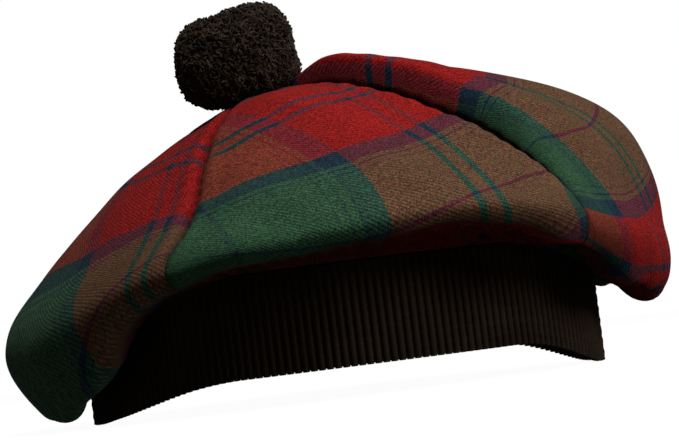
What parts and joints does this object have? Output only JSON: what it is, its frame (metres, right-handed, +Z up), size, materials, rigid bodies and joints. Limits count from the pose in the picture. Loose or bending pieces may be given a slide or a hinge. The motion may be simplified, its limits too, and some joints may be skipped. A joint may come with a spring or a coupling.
{
  "type": "tam o shanter",
  "caption": "Soft tartan tam with a wide drooping crown of wedge gores, a ribbed knitted headband and a clipped wool toorie on top.",
  "frame": {"origin": "the bounding box's bottom centre, on the surface that the hat rests on", "axes": "+Z up through the crown, the front of the hat faces -Y, and the crown droops towards -X"},
  "size_m": [0.2596, 0.257, 0.1532],
  "materials": {
    "tartan_cloth": "matt woollen twill in a red, green and blue tartan",
    "knitted_band": "matt black-brown ribbed wool knit",
    "toorie_wool": "dense clipped black-brown wool"
  },
  "bodies": {
    "root": {"gore_front": "tartan_cloth", "gore_right": "tartan_cloth", "gore_back": "tartan_cloth", "gore_left": "tartan_cloth", "headband": "knitted_band", "toorie": "toorie_wool"}
  },
  "joints": []
}
